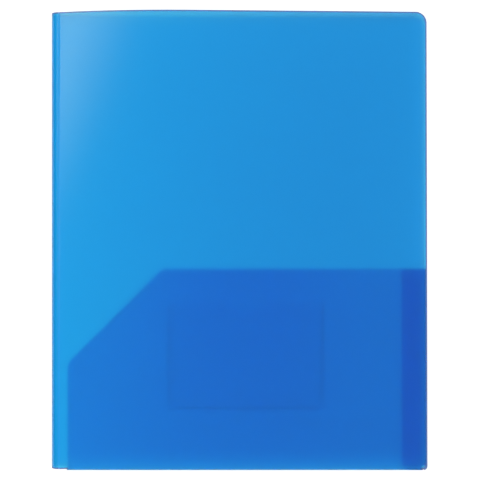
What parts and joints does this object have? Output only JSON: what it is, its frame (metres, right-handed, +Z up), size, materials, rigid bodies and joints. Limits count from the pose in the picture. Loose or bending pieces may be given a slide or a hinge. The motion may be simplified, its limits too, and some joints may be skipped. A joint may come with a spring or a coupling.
{
  "type": "two pocket folder",
  "caption": "Letter size folder of translucent blue plastic sheet with a rounded scored spine, hinged covers and a slant cut pocket inside each cover.",
  "frame": {"origin": "middle of the closed folder's footprint, on the surface the back cover lies on", "axes": "+Z up through the closed folder from the back cover to the front cover, +Y up the page towards the top edge, +X from the spine towards the free edges"},
  "size_m": [0.243, 0.2954, 0.0197],
  "materials": {
    "blue_sheet": "frosted translucent sheet",
    "clear_film": "clear film",
    "seal": "heat sealed sheet"
  },
  "bodies": {
    "back_cover": {"back_cover": "blue_sheet", "back_pocket_panel": "blue_sheet", "back_pocket_gusset": "blue_sheet", "back_pocket_side": "blue_sheet", "back_pocket_tab": "blue_sheet", "back_pocket_seal": "seal", "card_holder_seam": "clear_film", "card_holder_film": "clear_film"},
    "spine": {"spine_panel_back": "blue_sheet", "spine_panel_back_middle": "blue_sheet", "spine_panel_front_middle": "blue_sheet", "spine_panel_front": "blue_sheet", "back_score": "blue_sheet", "front_score": "blue_sheet"},
    "front_cover": {"front_cover": "blue_sheet", "front_pocket_panel": "blue_sheet", "front_pocket_gusset": "blue_sheet", "front_pocket_side": "blue_sheet", "front_pocket_tab": "blue_sheet", "front_pocket_seal": "seal"}
  },
  "joints": [
    {"name": "spine_hinge", "type": "hinge", "parent": "back_cover", "child": "spine", "pos_m": [-0.11605, 0, 0.00025], "axis": [0, -1, 0], "range_deg": [0, 150]},
    {"name": "cover_hinge", "type": "hinge", "parent": "spine", "child": "front_cover", "pos_m": [-0.11605, 0, 0.01125], "axis": [0, -1, 0], "range_deg": [0, 150]}
  ]
}
